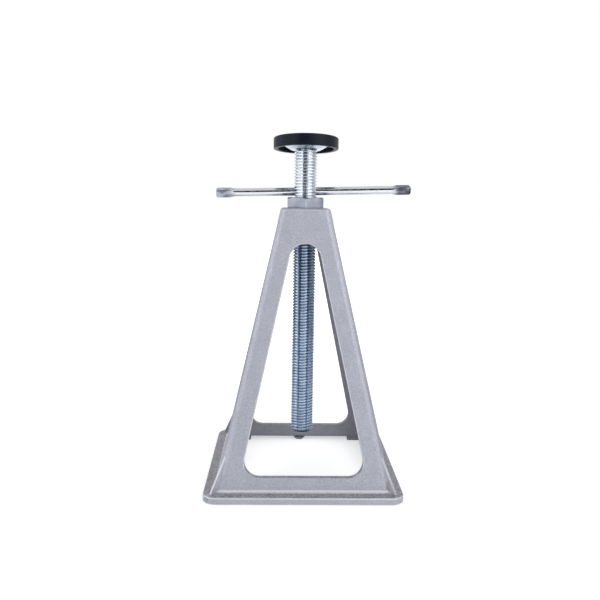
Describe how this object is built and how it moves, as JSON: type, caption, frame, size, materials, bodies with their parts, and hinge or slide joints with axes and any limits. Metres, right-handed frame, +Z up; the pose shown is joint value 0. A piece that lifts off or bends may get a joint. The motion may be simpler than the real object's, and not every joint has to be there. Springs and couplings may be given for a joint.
{
  "type": "screw jack stand",
  "caption": "Hollow cast pyramid jack stand with windowed sides, a zinc-plated lifting screw turned by a sliding bar, and a tilting round head with a rubber pad.",
  "frame": {"origin": "on the ground under the axis of the screw, midway between the corner pads", "axes": "+Z up along the screw; the front panel faces -Y; the bar lies along X"},
  "size_m": [0.169, 0.16, 0.29],
  "materials": {
    "cast_body": "as cast, fine grain, satin",
    "zinc_steel": "bright zinc plate",
    "black_rubber": "smooth moulded, satin"
  },
  "bodies": {
    "frame": {"stand_frame": "cast_body", "hex_nut": "zinc_steel"},
    "carrier": {"retaining_washer": "zinc_steel"},
    "screw": {"lift_screw": "zinc_steel"},
    "bar": {"tommy_bar": "zinc_steel"},
    "head": {"head_dish": "zinc_steel", "rubber_pad": "black_rubber"}
  },
  "joints": [
    {"name": "lift", "type": "slide", "parent": "frame", "child": "carrier", "axis": [0, 0, 1], "range_m": [0, 0.1397]},
    {"name": "screw_turn", "type": "hinge", "parent": "carrier", "child": "screw", "pos_m": [0, 0, 0.24], "axis": [0, 0, 1], "range_deg": [0, 19800]},
    {"name": "bar_slide", "type": "slide", "parent": "screw", "child": "bar", "axis": [0.9996, 0, 0.0297], "range_m": [-0.0638, 0.0498]},
    {"name": "head_tilt", "type": "hinge", "parent": "carrier", "child": "head", "pos_m": [0, 0, 0.27807], "axis": [1, 0, 0], "range_deg": [0, 9]}
  ],
  "couplings": [
    {"joint": "lift", "follows": "screw_turn", "m_per_rad": 0.00040425}
  ]
}
